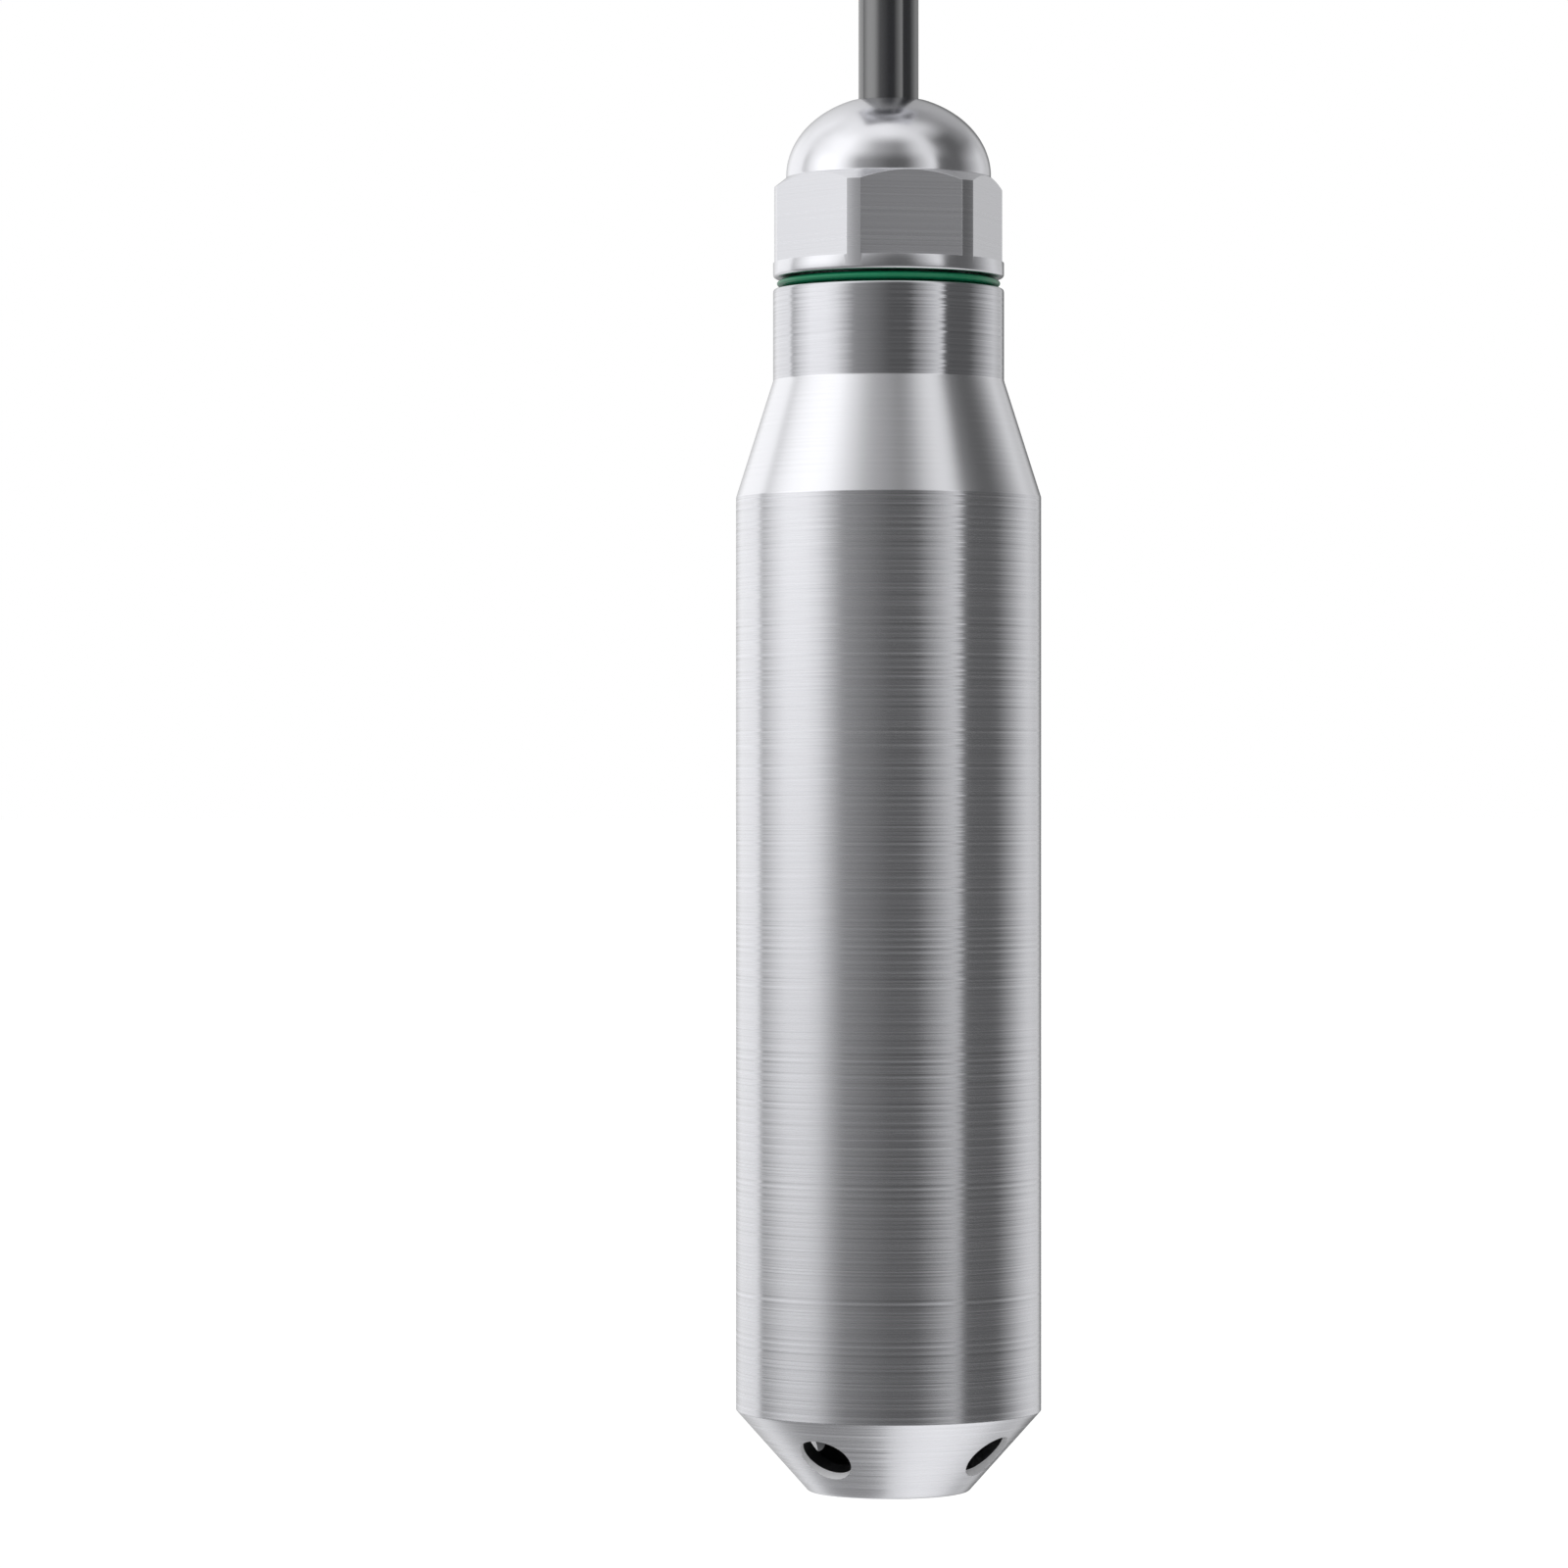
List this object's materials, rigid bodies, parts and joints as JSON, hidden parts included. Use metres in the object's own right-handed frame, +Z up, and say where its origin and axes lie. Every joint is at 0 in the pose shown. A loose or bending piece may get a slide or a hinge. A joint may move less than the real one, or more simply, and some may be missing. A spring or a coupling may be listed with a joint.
{
  "type": "submersible level transmitter",
  "caption": "Stainless steel pressure probe that hangs in a liquid by its vented cable and reports the level above it, with its hanging bracket.",
  "frame": {"origin": "middle of the hanging bracket's top face, straight above the sensor's axis, where the bracket is screwed up under a tank roof", "axes": "+Z up along the cable and the sensor's axis, -Y towards the viewer of the picture, +X to the viewer's right; the sensor hangs towards -Z"},
  "size_m": [0.028, 0.028, 0.1872],
  "materials": {
    "turned_steel": "turned, fine lines round the axis",
    "milled_steel": "satin dome and ground flats",
    "bright_steel": "bright",
    "bent_steel": "rolled sheet",
    "green_rubber": "smooth, slightly glossy",
    "black_rubber": "matt",
    "cable_jacket": "semi-gloss extruded jacket",
    "white_nylon": "moulded",
    "board_laminate": "lacquered",
    "chip_epoxy": "moulded",
    "capacitor_ceramic": "fired",
    "arrester_ceramic": "fired",
    "terminal_plastic": "moulded",
    "gold_plate": "plated",
    "silicon": "polished",
    "red_insulation": "extruded",
    "black_insulation": "extruded",
    "white_insulation": "extruded",
    "vent_plastic": "extruded"
  },
  "bodies": {
    "sensor_and_hanger": {"housing_body": "turned_steel", "cell_retaining_ring": "bright_steel", "pressure_cell": "milled_steel", "diaphragm": "bright_steel", "cell_seal_ring": "black_rubber", "cell_header": "gold_plate", "header_pin_1": "gold_plate", "header_pin_2": "gold_plate", "header_pin_3": "gold_plate", "header_pin_4": "gold_plate", "sensing_die": "silicon", "insulating_sleeve": "white_nylon", "circuit_board": "board_laminate", "amplifier_chip": "chip_epoxy", "driver_transistor": "chip_epoxy", "filter_capacitor_1": "capacitor_ceramic", "filter_capacitor_2": "capacitor_ceramic", "surge_arrester": "arrester_ceramic", "terminal_block": "terminal_plastic", "terminal_screw_1": "bright_steel", "terminal_screw_2": "bright_steel", "sensor_wire_1": "white_insulation", "sensor_wire_2": "white_insulation", "sensor_wire_3": "white_insulation", "sensor_wire_4": "white_insulation", "supply_core": "red_insulation", "signal_core": "black_insulation", "vent_tube": "vent_plastic", "gland_washer": "bright_steel", "gland_bush": "black_rubber", "gland_nut": "milled_steel", "neck_seal_ring": "green_rubber", "cable": "cable_jacket", "hanger_gland_nut": "bright_steel", "hanger_gland_bush": "black_rubber", "hanger_gland_body": "bright_steel", "hanger_lock_nut": "bright_steel", "hanger_bracket": "bent_steel", "red_lead": "red_insulation", "black_lead": "black_insulation", "red_lead_ferrule": "bright_steel", "black_lead_ferrule": "bright_steel", "open_vent_tube": "vent_plastic"},
    "guard_cap": {"nose_cap": "turned_steel"}
  },
  "joints": [
    {"name": "nose_cap_removal", "type": "slide", "parent": "sensor_and_hanger", "child": "guard_cap", "axis": [0, 0, -1], "range_m": [0, 0.02]}
  ]
}
